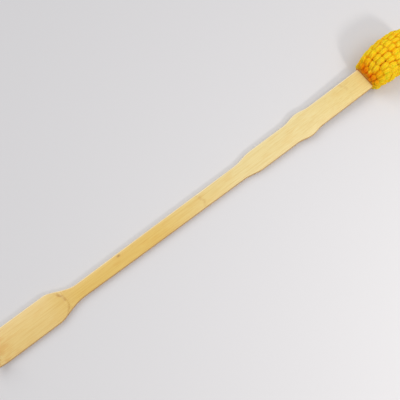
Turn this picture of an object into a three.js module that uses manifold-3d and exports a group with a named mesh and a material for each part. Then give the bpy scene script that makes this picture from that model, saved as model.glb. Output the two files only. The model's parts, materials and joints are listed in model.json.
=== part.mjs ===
// A long-handled back scrubber: one strip of split bamboo with a five-fingered scratching hand at
// one end, and at the other a sponge wrapped in a cover of chenille tufts.
// Millimetres, +Z up. X runs along the strip from the hand to the head, and the working sides of
// both ends face up. Stations along X are counted from where the hand starts to bend; the finished
// group is moved so that its origin is the middle of its footprint, on the surface it lies on.
import * as THREE from "three";
import { mergeVertices } from "three/addons/utils/BufferGeometryUtils.js";
import Module from "manifold-3d";

const wasm = await Module();
wasm.setup();

// ---------------------------------------------------------------- driving dimensions
// Bamboo strip
const stripThickness = 4.5;
const arrisRadius = 1.2; // the strip's long edges are sanded round
const bladeWidth = 28.4;
const bladeLength = 52; // start of the bend to the start of the shoulder
const bladeSet = 1.4; // the hand lies this far to the +Y side of the shaft
const shoulderLength = 28;
const shoulderSkew = 0.8; // exponent that makes the shoulder turn in sooner: 1 is an even S
const shaftWidthAtHand = 13.2;
const shaftWidthAtGrip = 15.2;
const shaftLength = 175;
const taperSkew = 0.6; // exponent of the shaft's widening: 1 is even, less is sooner
const gripShoulderLength = 20;
const gripWidth = 21;
const gripWidthAtHead = 22.2; // past the knob it widens to this
const gripLength = 130; // grip shoulder to the mouth of the head
const knobHeight = 4.4; // how much wider the grip is at the swelling that stops the hand sliding
const knobLength = 30;
const knobStation = 55.7; // from the start of the full grip to the crest of the knob
const bowLength = 165; // the strip rises from flat over this length, up to the head
const bowRise = 4.9;

// Scratching hand
const fingerCount = 5;
const slotWidth = 1.2;
const bendRadius = 14; // to the middle of the strip's thickness
const bendAngle = 108; // degrees, for the longest finger
const rootTurn = 32; // degrees of the bend that the hand makes before it parts into fingers
const rootSections = 4; // sections of that part
const fingerStagger = 5; // degrees shorter for each finger away from the middle one
const fingerTipThickness = 2.2;
const fingerTipWidth = 0.62; // share of the finger's width

// Tang, hidden in the head
const tangWidth = 12;
const tangShoulder = 5; // length over which the strip narrows to the tang
const tangLength = 30;

// Head, measured over the tufts
const headLength = 58;
const headWidth = 38;
const headHeight = 38;
const widestHeight = 17; // height of the head's widest level above the rest surface
const neckFullness = 1.9; // exponent of the rounding to the neck: 2 is an ellipse, more is squarer
const tipFullness = 3; // the same for the tip
const sectionFullness = 2.25; // the same for the section across the head
const mouthFullness = 5; // and for the flatter mouth
const tuftDepth = 4.3;
const pressedFlat = 2.4; // the tufts under the head are this much shallower
const tuftWidth = 5.4;
const rowCount = 9;
const rowGap = 0.5;
const rowsStart = 0.02; // turn where the first row starts, just past the mouth
const rowsEnd = Math.PI - 0.32; // turn where the last row ends and the tip tuft starts
const rowLine = 0.7; // angle round the head at which the rows are equally long
const rowSamples = 240; // points of that line that the rows can start from
const tipGapTurn = 0.04; // turn left free between the last row and the tip tuft
const panelThickness = 0.8;
const threadDiameter = 0.8;
const hemThickness = 0.8;
const hemLength = 4;
const padThickness = 1;
const padWidth = 9;
const padLength = 22;
const bindingTurns = 2.5;
const bindingDiameter = 0.6;

const clearance = 0.3; // between neighbouring pieces
const layerGap = 0.7; // between the curved layers of the head, whose flat facets cut inwards

// ---------------------------------------------------------------- stations along X
const shoulderStart = bladeLength;
const shaftStart = shoulderStart + shoulderLength;
const gripShoulderStart = shaftStart + shaftLength;
const gripStart = gripShoulderStart + gripShoulderLength;
const mouth = gripStart + gripLength; // where the strip enters the head
const tangStart = mouth + hemLength;
const tangEnd = tangStart + tangShoulder + tangLength;
const headMiddle = mouth + headLength / 2;
const headTip = mouth + headLength;
const bowStart = mouth - bowLength;
const knobStart = gripStart + knobStation - knobLength / 2;
const knobEnd = knobStart + knobLength;

// ---------------------------------------------------------------- small helpers
const { clamp, lerp, degToRad } = THREE.MathUtils;

/** Smooth step from 0 to 1. */
const ease = (u) => THREE.MathUtils.smoothstep(u, 0, 1);

/** Evenly spaced numbers from a to b, both included. */
const steps = (a, b, count) => Array.from({ length: count + 1 }, (_, i) => lerp(a, b, i / count));

/** Whole numbers from 0 up to count - 1. */
const range = (count) => Array.from({ length: count }, (_, i) => i);

/** Closed solid as a manifold, from a geometry whose faces point out. */
function solid(geometry) {
  const bare = new THREE.BufferGeometry();
  bare.setAttribute("position", geometry.getAttribute("position"));
  if (geometry.index) bare.setIndex(geometry.index);
  const merged = mergeVertices(bare, 1e-4);
  return new wasm.Manifold(
    new wasm.Mesh({
      numProp: 3,
      vertProperties: new Float32Array(merged.attributes.position.array),
      triVerts: new Uint32Array(merged.index.array),
    }),
  );
}

/** The main body of a cut solid, without the slivers a cut can leave at its edges. */
const mainBody = (manifold) =>
  manifold.decompose().reduce((best, body) => (body.volume() > best.volume() ? body : best));

/** Geometry of a manifold. */
function geometryOf(manifold) {
  const mesh = manifold.getMesh();
  const geometry = new THREE.BufferGeometry();
  geometry.setAttribute("position", new THREE.BufferAttribute(mesh.vertProperties, 3));
  geometry.setIndex(new THREE.BufferAttribute(mesh.triVerts, 1));
  geometry.computeVertexNormals();
  return geometry;
}

/** Triangles between two rings of points that run the same way round. */
function wall(ringA, ringB, triangles) {
  const count = ringA.length;
  for (let j = 0; j < count; j += 1) {
    const k = (j + 1) % count;
    triangles.push(ringA[j], ringA[k], ringB[j]);
    triangles.push(ringA[k], ringB[k], ringB[j]);
  }
}

/** Triangles from a point to a ring; a start cap faces back along the rings, an end cap faces on. */
function cap(ring, point, isStart, triangles) {
  for (let j = 0; j < ring.length; j += 1) {
    const k = (j + 1) % ring.length;
    if (isStart) triangles.push(point, ring[k], ring[j]);
    else triangles.push(point, ring[j], ring[k]);
  }
}

/** Geometry from a flat list of triangle corners. */
function fromTriangles(triangles) {
  return new THREE.BufferGeometry().setFromPoints(triangles);
}

/** The mean of a ring's points. */
const centreOf = (ring) =>
  ring.reduce((sum, p) => sum.add(p), new THREE.Vector3()).divideScalar(ring.length);

/** Solid through a row of rings, closed at both ends. Rings run from +Y towards +Z, row towards +X. */
function loft(rings, startPoint = centreOf(rings[0]), endPoint = centreOf(rings.at(-1))) {
  const triangles = [];
  cap(rings[0], startPoint, true, triangles);
  for (let i = 0; i + 1 < rings.length; i += 1) wall(rings[i], rings[i + 1], triangles);
  cap(rings.at(-1), endPoint, false, triangles);
  return fromTriangles(triangles);
}

/** Ring-shaped solid: the last ring joins back to the first. */
function hoop(rings) {
  const triangles = [];
  rings.forEach((ring, i) => wall(ring, rings[(i + 1) % rings.length], triangles));
  return fromTriangles(triangles);
}

/** Outline of a rectangle with round corners, in its own plane, from +Y towards +Z. */
function roundedSection(halfWidth, halfHeight, radius, cornerSteps = 2) {
  const r = Math.min(radius, halfWidth * 0.98, halfHeight * 0.98);
  const corners = [[1, 1], [-1, 1], [-1, -1], [1, -1]];
  return corners.flatMap(([sy, sz], corner) =>
    steps(corner * 90, corner * 90 + 90, cornerSteps).map((degrees) => {
      const a = degToRad(degrees);
      return [sy * (halfWidth - r) + r * Math.cos(a), sz * (halfHeight - r) + r * Math.sin(a)];
    }),
  );
}

/** A tube of the given diameter along points in space. */
function tube(points, diameter, sides, count) {
  const section = new THREE.Shape(
    steps(0, 2 * Math.PI, sides).slice(0, -1).map(
      (a) => new THREE.Vector2((diameter / 2) * Math.cos(a), (diameter / 2) * Math.sin(a)),
    ),
  );
  return new THREE.ExtrudeGeometry(section, {
    steps: count,
    extrudePath: new THREE.CatmullRomCurve3(points, false, "centripetal"),
  });
}

// ---------------------------------------------------------------- bamboo strip
/** Width of the strip at a station, from the finger roots to the end of the tang. */
function stripWidth(x) {
  const shoulder = ease(clamp((x - shoulderStart) / shoulderLength, 0, 1) ** shoulderSkew);
  const taper = clamp((x - shaftStart) / shaftLength, 0, 1) ** taperSkew;
  const gripShoulder = ease((x - gripShoulderStart) / gripShoulderLength);
  const fromKnob = clamp((x - knobStart) / (knobLength / 2) - 1, -1, 1);
  const knob = (1 + Math.cos(Math.PI * fromKnob)) / 2;
  const pastKnob = (1 + fromKnob) / 2;
  const tang = ease((x - tangStart) / tangShoulder);
  return (
    bladeWidth +
    (shaftWidthAtHand - bladeWidth) * shoulder +
    (shaftWidthAtGrip - shaftWidthAtHand) * taper +
    (gripWidth - shaftWidthAtGrip) * gripShoulder +
    knobHeight * knob +
    (gripWidthAtHead - gripWidth) * pastKnob +
    (tangWidth - gripWidthAtHead) * tang
  );
}

/** Sideways place of the strip's middle: the hand is set over a little to one side. */
const stripMiddle = (x) => bladeSet * (1 - ease((x - shoulderStart) / shoulderLength));

/** Height of the strip's underside: flat, then bowing up to the head. */
const stripUnderside = (x) => bowRise * Math.max(0, (x - bowStart) / bowLength) ** 2;

/** Height of the middle of the strip's thickness. */
const stripCentre = (x) => stripUnderside(x) + stripThickness / 2;

/** Ring round the strip at a station, standing proud of it by a margin. */
function stripRing(x, margin = 0, width = stripWidth(x)) {
  const section = roundedSection(
    width / 2 + margin,
    stripThickness / 2 + margin,
    arrisRadius + margin,
  );
  return section.map(
    ([y, z]) => new THREE.Vector3(x, stripMiddle(x) + y, stripCentre(x) + z),
  );
}

/** Point of the hand at an angle round its bend, some way outwards from the middle. */
function bentPoint(turn, y, out) {
  const b = degToRad(turn);
  const radius = out - bendRadius;
  return new THREE.Vector3(
    radius * Math.sin(b),
    y,
    stripThickness / 2 + bendRadius + radius * Math.cos(b),
  );
}

/** Ring round the undivided part of the hand, at an angle round its bend. */
const palmRing = (turn) =>
  roundedSection(bladeWidth / 2, stripThickness / 2, arrisRadius).map(([y, z]) =>
    bentPoint(turn, bladeSet + y, z),
  );

/** Stations of the strip's sections in rising order, close together where its outline turns. */
function stripStations() {
  const stations = [
    0,
    ...steps(shoulderStart, shaftStart, 10),
    ...steps(shaftStart, gripShoulderStart, 4),
    ...steps(gripShoulderStart, gripStart, 7),
    ...steps(gripStart, knobStart, 2),
    ...steps(knobStart, knobEnd, 12),
    ...steps(knobEnd, tangStart, 4),
    ...steps(tangStart, tangStart + tangShoulder, 4),
    bowStart,
  ];
  return [...new Set(stations)].sort((a, b) => a - b);
}

/** Body of the strip, from the finger roots to the rounded end of the tang. */
function stripBody() {
  const palm = steps(rootTurn, 0, rootSections).slice(0, -1).map(palmRing);
  const shaft = stripStations().map((x) => stripRing(x));
  const endRadius = tangWidth / 2;
  const end = steps(0, 0.98, 5).map((u) => {
    const width = tangWidth * Math.sqrt(1 - u * u);
    return stripRing(tangEnd - endRadius * (1 - u), 0, width);
  });
  return loft([...palm, ...shaft, ...end]);
}

/** One finger, from its tip back along the bend to its root. */
function finger(index) {
  const fromMiddle = index - (fingerCount - 1) / 2;
  const pitch = (bladeWidth + slotWidth) / fingerCount;
  const width = pitch - slotWidth;
  const middle = bladeSet + fromMiddle * pitch;
  const angle = bendAngle - fingerStagger * Math.abs(fromMiddle);
  const ringAt = (turn, share) => {
    const alongTip = clamp((turn - rootTurn) / (angle - rootTurn), 0, 1) ** 2;
    const halfWidth = (width / 2) * lerp(1, fingerTipWidth, alongTip) * share;
    const halfThickness = (lerp(stripThickness, fingerTipThickness, alongTip) / 2) * share;
    const inward = lerp(0, (stripThickness - fingerTipThickness) / 4, alongTip);
    return roundedSection(halfWidth, halfThickness, arrisRadius).map(([y, z]) =>
      bentPoint(turn, middle + y, z - inward),
    );
  };
  const roundedTip = [[0, 0.35], [1.2, 0.72], [4, 0.93]].map(([back, share]) =>
    ringAt(angle - back, share),
  );
  const bend = steps(angle - 10, rootTurn, 8).map((turn) => ringAt(turn, 1));
  return loft([...roundedTip, ...bend, ringAt(rootTurn - rootTurn / rootSections, 1)]);
}

/** The strip with its five bent fingers, as one piece. */
function bambooHandle() {
  const fingers = range(fingerCount).map((i) => solid(finger(i)));
  return geometryOf(fingers.reduce((whole, one) => whole.add(one), solid(stripBody())));
}

// ---------------------------------------------------------------- head: the shape of its layers
const threadMargin = hemThickness + 2 * clearance; // from the strip to the inside of the binding
const mouthMargin = threadMargin + bindingDiameter + clearance;
const mouthHalfWidth = gripWidthAtHead / 2 + mouthMargin;
const mouthHalfHeight = stripThickness / 2 + mouthMargin;
const mouthCentre = stripCentre(mouth);
const mouthInside = mouth + tuftDepth + 2 * layerGap + panelThickness + clearance;

/** Section of a layer of the head that lies some depth under the tips of the tufts.
 *  The turn runs from 0 at the mouth, through a right angle at the middle, to pi at the tip. */
function headSection(turn, depth) {
  const isNeck = turn < Math.PI / 2;
  const roundness = 2 / (isNeck ? neckFullness : tipFullness);
  const along = Math.abs(Math.cos(turn)) ** roundness;
  const swell = Math.max(Math.sin(turn), 0) ** roundness;
  const halfWidth = headWidth / 2 - depth;
  const inset = Math.max(depth - tuftDepth - layerGap, 0);
  const above = headHeight - widestHeight - depth;
  const below = widestHeight - Math.max(depth - pressedFlat, depth * (1 - pressedFlat / tuftDepth));
  return {
    fullness: isNeck ? lerp(mouthFullness, sectionFullness, swell ** 3) : sectionFullness,
    x: isNeck
      ? headMiddle - (headMiddle - mouth - depth) * along
      : headMiddle + (headTip - headMiddle - depth) * along,
    halfWidth: isNeck ? lerp(mouthHalfWidth - inset, halfWidth, swell) : halfWidth * swell,
    above: isNeck ? lerp(mouthHalfHeight - inset, above, swell) : above * swell,
    below: isNeck ? lerp(mouthHalfHeight - inset, below, swell) : below * swell,
    centre: isNeck ? lerp(mouthCentre, widestHeight, swell) : widestHeight,
  };
}

/** Point of a layer at an angle round the head, from +Y towards +Z. */
function headPoint(turn, depth, angle) {
  const s = headSection(turn, depth);
  const across = Math.cos(angle);
  const up = Math.sin(angle);
  const reach = (Math.abs(across) ** s.fullness + Math.abs(up) ** s.fullness) ** (-1 / s.fullness);
  const rise = reach * up * (up > 0 ? s.above : s.below);
  return new THREE.Vector3(s.x, reach * across * s.halfWidth, s.centre + rise);
}

/** Solid inside one layer of the head, from the mouth to the tip. */
function headBody(depth, around = 20, along = 12) {
  const angles = steps(0, 2 * Math.PI, around).slice(0, -1);
  const turns = steps(0, Math.PI, along).slice(0, -1);
  const rings = turns.map((turn) => angles.map((a) => headPoint(turn, depth, a)));
  const tip = headSection(Math.PI, depth);
  return solid(loft(rings, centreOf(rings[0]), new THREE.Vector3(tip.x, 0, tip.centre)));
}

/** Turns that divide the side of the head into equal lengths, one more than the rows. */
function rowTurns() {
  const depth = tuftDepth / 2;
  const samples = steps(rowsStart, rowsEnd, rowSamples);
  const lengths = [0];
  samples.slice(1).forEach((turn, i) => {
    const step = headPoint(turn, depth, rowLine).distanceTo(headPoint(samples[i], depth, rowLine));
    lengths.push(lengths[i] + step);
  });
  return steps(0, lengths.at(-1), rowCount).map((target) => {
    const at = lengths.findIndex((length) => length >= target - 1e-6);
    return samples[at];
  });
}

/** Distance round the head at a turn, part-way into the tufts. */
function girth(turn) {
  const ring = steps(0, 2 * Math.PI, 48).map((a) => headPoint(turn, tuftDepth / 2, a));
  return ring.slice(1).reduce((sum, p, i) => sum + p.distanceTo(ring[i]), 0);
}

/** Angles and heights round a row of tufts: a valley, then two points on the crest of each. */
function tuftWave(count, phase) {
  const shape = [[0, 0.5], [0.28, 1], [0.72, 1]];
  return range(count).flatMap((i) =>
    shape.map(([share, height]) => ({
      angle: ((i + share + phase) / count) * 2 * Math.PI,
      height,
    })),
  );
}

// ---------------------------------------------------------------- head: pieces
/** One row of tufts: a hoop of chenille yarn with a lobe for each tuft. */
function tuftRow(turnA, turnB, index) {
  const middle = (turnA + turnB) / 2;
  const count = Math.max(5, Math.round(girth(middle) / tuftWidth));
  const wave = tuftWave(count, index % 2 ? 0.5 : 0);
  const depth = tuftDepth / 2;
  const length = headPoint(turnA, depth, rowLine).distanceTo(headPoint(turnB, depth, rowLine));
  const gapTurn = ((rowGap / 2) * (turnB - turnA)) / length;
  const start = turnA + gapTurn;
  const end = turnB - gapTurn;
  const ring = (share, lift) =>
    wave.map(({ angle, height }) =>
      headPoint(lerp(start, end, share), tuftDepth * (1 - lift * height), angle),
    );
  return hoop([ring(0, 0), ring(0.2, 0.92), ring(0.75, 1), ring(1, 0)]);
}

/** The tufts that close the tip of the head. */
function tipTuft(turn) {
  const start = turn + tipGapTurn;
  const count = Math.max(5, Math.round(girth(start) / tuftWidth));
  const wave = tuftWave(count, 0.25);
  const ring = (share, lift) =>
    wave.map(({ angle, height }) =>
      headPoint(lerp(start, Math.PI, share), tuftDepth * (1 - lift * height), angle),
    );
  const apex = (depth) => {
    const s = headSection(Math.PI, depth);
    return new THREE.Vector3(s.x, 0, s.centre);
  };
  return loft([ring(0, 0), ring(0.15, 0.9), ring(0.6, 1)], apex(tuftDepth), apex(0));
}

/** Space above (side 1) or below (side -1) the head's widest level, kept a gap away from it. */
function halfSpace(side, gap, depth) {
  const reach = 60;
  const line = steps(0, Math.PI / 2, 20).map((turn) => {
    const s = headSection(turn, depth);
    return new THREE.Vector2(s.x, s.centre + side * gap);
  });
  const first = new THREE.Vector2(mouth - reach, line[0].y);
  const last = new THREE.Vector2(headTip + reach, line.at(-1).y);
  const corners = [
    new THREE.Vector2(headTip + reach, side * reach),
    new THREE.Vector2(mouth - reach, side * reach),
  ];
  const block = new THREE.ExtrudeGeometry(new THREE.Shape([first, ...line, last, ...corners]), {
    depth: 2 * reach,
    bevelEnabled: false,
  });
  block.rotateX(Math.PI / 2);
  block.translate(0, reach, 0);
  return solid(block);
}

/** A block round the strip's path that is open to both ends, standing proud by a margin. */
function stripPassage(margin, from, to, width) {
  const rings = steps(from, to, 4).map((x) => stripRing(x, margin, width));
  return solid(loft(rings));
}

/** The backing cloth, before it is parted along its side seam. */
function backingShell() {
  const outside = headBody(tuftDepth + layerGap);
  const inside = headBody(tuftDepth + layerGap + panelThickness);
  const opening = stripPassage(mouthMargin + layerGap, mouth - 8, mouthInside, gripWidthAtHead);
  return outside.subtract(inside).subtract(opening);
}

/** Filling layer inside the backing, with a pocket for the tang. */
function fillingBody() {
  const depth = tuftDepth + panelThickness + 2 * layerGap;
  const pocket = stripPassage(clearance, tangStart - 20, tangEnd + clearance, gripWidthAtHead);
  const tangPocket = stripPassage(clearance, tangStart, tangEnd + clearance, tangWidth);
  const mouthPart = pocket.intersect(slice(mouth - 20, tangStart + tangShoulder + clearance));
  return headBody(depth)
    .subtract(mouthPart)
    .subtract(tangPocket)
    .intersect(slice(mouthInside, headTip));
}

/** Everything between two stations. */
function slice(from, to) {
  const reach = 100;
  const block = new THREE.BoxGeometry(to - from, reach, reach);
  block.translate((from + to) / 2, 0, 0);
  return solid(block);
}

/** Everything above (side 1) or below (side -1) the middle of the tang, less a gap. */
function besideTang(side, gap) {
  const reach = 60;
  const line = steps(mouth - 10, headTip + 10, 6).map(
    (x) => new THREE.Vector2(x, stripCentre(x) + side * gap),
  );
  const corners = [
    new THREE.Vector2(headTip + 10, side * reach),
    new THREE.Vector2(mouth - 10, side * reach),
  ];
  const block = new THREE.ExtrudeGeometry(new THREE.Shape([...line, ...corners]), {
    depth: 2 * reach,
    bevelEnabled: false,
  });
  block.rotateX(Math.PI / 2);
  block.translate(0, reach, 0);
  return solid(block);
}

/** Sponge block that lies over the tang and gives the head its crown. */
const spongeCore = () =>
  geometryOf(mainBody(fillingBody().intersect(besideTang(1, clearance / 2))));

/** Thin pad that keeps the tang's underside from wearing through the cover. */
function backPad() {
  const middle = (tangStart + tangShoulder + tangEnd) / 2;
  const rings = steps(middle - padLength / 2, middle + padLength / 2, 4).map((x) =>
    roundedSection(padWidth / 2, padThickness / 2, padThickness / 2.2, 1).map(
      ([y, z]) =>
        new THREE.Vector3(x, y, stripUnderside(x) - clearance - padThickness / 2 + z),
    ),
  );
  return loft(rings);
}

/** Thread along the seam between the two cover panels: up one side, round the tip and back. */
function seamThread() {
  const depth = tuftDepth + layerGap + panelThickness / 2;
  const oneSide = steps(0.5, Math.PI, 12).slice(0, -1);
  const left = oneSide.map((turn) => headPoint(turn, depth, 0));
  const right = oneSide.map((turn) => headPoint(turn, depth, Math.PI)).reverse();
  const tip = headSection(Math.PI, depth);
  const points = [...left, new THREE.Vector3(tip.x, 0, tip.centre), ...right];
  return tube(points, threadDiameter, 6, 44);
}

/** Folded hem of the cover's mouth, round the strip. */
function neckHem() {
  const ring = (x, margin) => stripRing(x, margin, gripWidthAtHead);
  const outer = clearance + hemThickness;
  const from = mouth + 0.4;
  const to = mouth + hemLength;
  return hoop([ring(from, clearance), ring(from, outer), ring(to, outer), ring(to, clearance)]);
}

/** Thread wound round the hem, which ties the cover to the strip. */
function bindingThread() {
  const margin = threadMargin + bindingDiameter / 2;
  const pitch = bindingDiameter + 0.3;
  const from = mouth + hemLength / 2 - (bindingTurns * pitch) / 2;
  const outline = roundedSection(
    gripWidthAtHead / 2 + margin,
    stripThickness / 2 + margin,
    arrisRadius + margin,
    3,
  );
  const count = Math.round(outline.length * bindingTurns);
  const points = range(count).map((i) => {
    const [y, z] = outline[i % outline.length];
    const x = from + (pitch * i) / outline.length;
    return new THREE.Vector3(x, y, stripCentre(x) + z);
  });
  return tube(points, bindingDiameter, 6, 70);
}

// ---------------------------------------------------------------- materials and assembly
const finish = (color, roughness) =>
  new THREE.MeshStandardMaterial({ color, roughness, metalness: 0 });
const bamboo = finish("#e8cf8e", 0.5);
const chenille = finish("#f0bc1e", 0.85);
const backing = finish("#dba21c", 0.9);
const sponge = finish("#efe6c8", 0.95);
const felt = finish("#e4dcc6", 0.95);
const thread = finish("#e6b52a", 0.7);

const scrubber = new THREE.Group();

/** Adds a named piece to the object. */
function add(name, geometry, material) {
  const mesh = new THREE.Mesh(geometry, material);
  mesh.name = name;
  scrubber.add(mesh);
}

add("bamboo_handle", bambooHandle(), bamboo);
add("sponge_core", spongeCore(), sponge);
add("back_pad", backPad(), felt);

const shell = backingShell();
const seamGap = threadDiameter / 2 + clearance;
const seamDepth = tuftDepth + layerGap + panelThickness / 2;
const panel = (side) => geometryOf(mainBody(shell.intersect(halfSpace(side, seamGap, seamDepth))));
add("cover_front_panel", panel(1), backing);
add("cover_rear_panel", panel(-1), backing);
add("side_seam_thread", seamThread(), thread);
add("neck_hem", neckHem(), backing);
add("neck_binding_thread", bindingThread(), thread);

const turns = rowTurns();
for (const i of range(rowCount)) {
  const name = `tuft_row_${String(i + 1).padStart(2, "0")}`;
  add(name, tuftRow(turns[i], turns[i + 1], i), chenille);
}
add("tip_tuft", tipTuft(turns.at(-1)), chenille);

const box = new THREE.Box3().setFromObject(scrubber);
const footprint = box.getCenter(new THREE.Vector3());
scrubber.position.set(-footprint.x, -footprint.y, -box.min.z);

export default scrubber;
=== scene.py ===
"""Looks of a long bamboo back scrubber: a split-bamboo strip with a chenille-covered sponge head.

Everything is in metres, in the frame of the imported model. +X runs from the scratching hand to
the head and +Z is up. Each class builds one sub-assembly, and the frame gives its places.
"""

import json
import logging
import math
import random
from dataclasses import dataclass, field
from enum import Enum
from typing import Callable, Iterable

import bpy
from mathutils import Matrix, Vector

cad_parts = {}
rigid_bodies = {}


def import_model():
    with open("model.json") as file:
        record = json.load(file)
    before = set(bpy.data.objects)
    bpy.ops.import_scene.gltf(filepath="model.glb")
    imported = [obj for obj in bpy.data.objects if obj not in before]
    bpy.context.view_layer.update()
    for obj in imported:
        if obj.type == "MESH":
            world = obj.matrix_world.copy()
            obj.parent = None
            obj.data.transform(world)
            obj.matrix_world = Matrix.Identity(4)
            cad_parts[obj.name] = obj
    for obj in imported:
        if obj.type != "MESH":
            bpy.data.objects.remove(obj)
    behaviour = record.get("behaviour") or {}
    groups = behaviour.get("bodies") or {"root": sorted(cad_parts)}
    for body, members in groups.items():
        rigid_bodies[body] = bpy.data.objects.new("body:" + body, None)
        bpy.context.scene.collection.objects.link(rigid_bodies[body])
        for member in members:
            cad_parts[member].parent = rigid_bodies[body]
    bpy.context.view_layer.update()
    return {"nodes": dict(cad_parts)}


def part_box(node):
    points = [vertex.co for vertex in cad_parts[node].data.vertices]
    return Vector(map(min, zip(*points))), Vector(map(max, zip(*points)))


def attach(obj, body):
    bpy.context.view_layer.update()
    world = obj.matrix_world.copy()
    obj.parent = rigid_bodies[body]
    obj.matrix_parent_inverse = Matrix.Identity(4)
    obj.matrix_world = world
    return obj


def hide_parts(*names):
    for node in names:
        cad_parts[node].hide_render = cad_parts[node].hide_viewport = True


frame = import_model()

log = logging.getLogger("scrubber")

MM = 0.001
MULTIPLY = {"operation": "MULTIPLY"}
ADD = {"operation": "ADD"}
SMOOTH_STEP = {"interpolation_type": "SMOOTHSTEP"}
RING_STEPS = 96
ROW_SAMPLES = 960
TINY = 1e-9
NEARLY_ONE = 0.999  # keeps a turn off the very ends of the head
WAVE_PERIOD = math.tau / 20  # the wave texture's own period, at scale 1
ROOT = "root"


class Slot(Enum):
    """The record's material slots of the new pieces' finishes."""

    BAMBOO = "bamboo"
    CHENILLE = "chenille_yarn"
    CLOTH = "cover_cloth"
    SPONGE = "sponge"
    FELT = "felt"


class Source(Enum):
    """The kinds of light, by their Blender names."""

    SOFTBOX = "AREA"
    WINDOW = "SUN"


# ---------------------------------------------------------------- shader helpers
def linear(hex_colour: str) -> tuple[float, float, float, float]:
    """Turn an sRGB hex colour to linear RGBA.

    Args:
        hex_colour: six hex digits, with or without a leading #.

    Returns:
        Linear red, green, blue and an alpha of 1.
    """
    digits = hex_colour.lstrip("#")
    channels = [int(digits[i : i + 2], 16) / 255 for i in (0, 2, 4)]
    decoded = [c / 12.92 if c <= 0.04045 else ((c + 0.055) / 1.055) ** 2.4 for c in channels]
    return (decoded[0], decoded[1], decoded[2], 1.0)


def set_inputs(
    tree: bpy.types.NodeTree, node: bpy.types.Node, inputs: dict[str | int, object]
) -> None:
    """Give a node's inputs their values or links.

    Args:
        tree: the material's node tree.
        node: the node.
        inputs: input name or index to a value, to an output socket to link from, or to a node
            whose first output is linked.
    """
    for key, value in inputs.items():
        if isinstance(value, bpy.types.Node):
            value = value.outputs[0]
        if isinstance(value, bpy.types.NodeSocket):
            tree.links.new(value, node.inputs[key])
        else:
            node.inputs[key].default_value = value


def add_node(
    tree: bpy.types.NodeTree,
    kind: str,
    settings: dict[str, object] | None = None,
    inputs: dict[str | int, object] | None = None,
) -> bpy.types.Node:
    """Add one node to a tree, with its settings and its input values or links.

    Args:
        tree: the material's node tree.
        kind: the node's type name, without ShaderNode before it.
        settings: attributes of the node.
        inputs: what set_inputs gives to the node.

    Returns:
        The new node.
    """
    node = tree.nodes.new(f"ShaderNode{kind}")
    for name, value in (settings or {}).items():
        setattr(node, name, value)
    set_inputs(tree, node, inputs or {})
    return node


def set_stops(ramp: bpy.types.Node, stops: Iterable[tuple[float, str]]) -> None:
    """Give a colour ramp its stops.

    Args:
        ramp: a colour ramp node.
        stops: pairs of place and sRGB hex colour, in rising order of place.
    """
    elements = ramp.color_ramp.elements
    wanted = list(stops)
    while len(elements) < len(wanted):
        elements.new(1.0)
    for element, (place, colour) in zip(elements, wanted):
        element.position = place
        element.color = linear(colour)


def new_material(name: str) -> tuple[bpy.types.Material, bpy.types.NodeTree, bpy.types.Node]:
    """Start a node material.

    Args:
        name: the material's name.

    Returns:
        The material, its node tree and its Principled shader.
    """
    material = bpy.data.materials.new(name)
    material.use_nodes = True
    tree = material.node_tree
    return material, tree, tree.nodes["Principled BSDF"]


def patterned_material(
    name: str,
    pattern: tuple[str, dict[str, object], dict[str, object], str],
    stops: Iterable[tuple[float, str]],
    relief: dict[str, object],
    surface: dict[str, object],
    hollow: bool = False,
) -> bpy.types.Material:
    """Make a finish whose colour and relief both follow one pattern.

    Args:
        name: the material's name.
        pattern: the texture node's type, settings and inputs, and the output that is used.
        stops: places and colours along the pattern.
        relief: strength and distance of the relief.
        surface: values on the shader itself.
        hollow: the pattern's high values lie deepest.

    Returns:
        The material.
    """
    material, tree, shader = new_material(name)
    kind, settings, inputs, output = pattern
    place = add_node(tree, "TexCoord").outputs["Object"]
    level = add_node(tree, kind, settings, {"Vector": place, **inputs}).outputs[output]
    ramp = add_node(tree, "ValToRGB", inputs={"Fac": level})
    set_stops(ramp, stops)
    bump = add_node(tree, "Bump", {"invert": hollow}, {"Height": level, **relief})
    links = {"Base Color": ramp, "Normal": bump}
    set_inputs(tree, shader, links | surface)
    return material


# ---------------------------------------------------------------- finishes
Overlay = tuple[bpy.types.Node, str]  # where one overlay shows, and its colour: real stains, and on the long edges painted highlight and painted shade


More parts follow.
